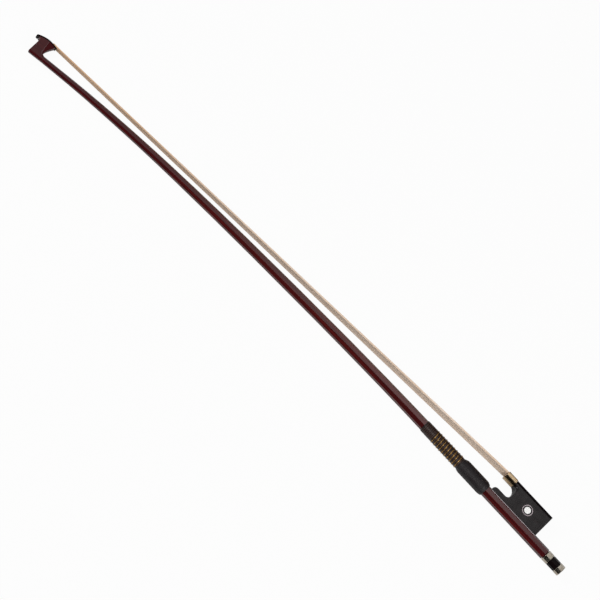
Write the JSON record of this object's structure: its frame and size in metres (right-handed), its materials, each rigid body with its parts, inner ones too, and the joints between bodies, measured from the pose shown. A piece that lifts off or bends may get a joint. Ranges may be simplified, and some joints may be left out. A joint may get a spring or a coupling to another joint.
{
  "type": "violin bow",
  "caption": "Small violin bow: cambered octagonal stick with a carved head, sliding ebony frog drawn by a screw and octagonal button, and a flat ribbon of hair.",
  "frame": {"origin": "centre of the bounding box's bottom face; the bow lies on its side, on its thumb leather", "axes": "+X from the head to the button along the screw's axis, +Y from the stick to the hair, +Z across the bow, up"},
  "size_m": [0.4956, 0.0458, 0.0103],
  "materials": {
    "bow_wood": "glossy dark red-brown varnish",
    "ebony": "polished black",
    "black_plastic": "satin",
    "maple": "raw",
    "nickel_silver": "polished",
    "brass": "machined",
    "steel": "machined",
    "pearl": "polished mother of pearl",
    "leather": "smooth grain",
    "winding": "tightly wound glossy thread",
    "tinsel": "bright flat thread",
    "hair": "long straight horsehair",
    "bound_hair": "thread-bound and singed"
  },
  "bodies": {
    "stick": {"stick": "bow_wood", "tip_plate": "black_plastic", "head_plug": "maple", "hair_knot_head": "bound_hair", "hair": "hair", "winding_thread": "winding", "winding_tinsel": "tinsel", "thumb_leather": "leather"},
    "frog": {"frog": "ebony", "ferrule": "nickel_silver", "spread_wedge": "maple", "frog_plug": "maple", "hair_knot_frog": "bound_hair", "slide_base": "ebony", "pearl_slide": "pearl", "underslide": "nickel_silver", "liner_pin_front": "nickel_silver", "liner_pin_rear": "nickel_silver", "eyelet": "brass", "eye_ring_left": "nickel_silver", "eye_ring_right": "nickel_silver", "eye_pearl_left": "pearl", "eye_pearl_right": "pearl"},
    "screw": {"adjuster_screw": "steel", "button_core": "ebony", "button_ring_front": "nickel_silver", "button_ring_rear": "nickel_silver"}
  },
  "joints": [
    {"name": "button_turn", "type": "hinge", "parent": "stick", "child": "screw", "pos_m": [0.23219, 0.00197, 0.00515], "axis": [-1, 0, 0], "range_deg": [-720, 1800]},
    {"name": "frog_slide", "type": "slide", "parent": "stick", "child": "frog", "axis": [1, 0, 0], "range_m": [-0.0016, 0.004], "deforming": ["hair"]}
  ],
  "couplings": [
    {"joint": "button_turn", "follows": "frog_slide", "rad_per_m": 7854}
  ]
}
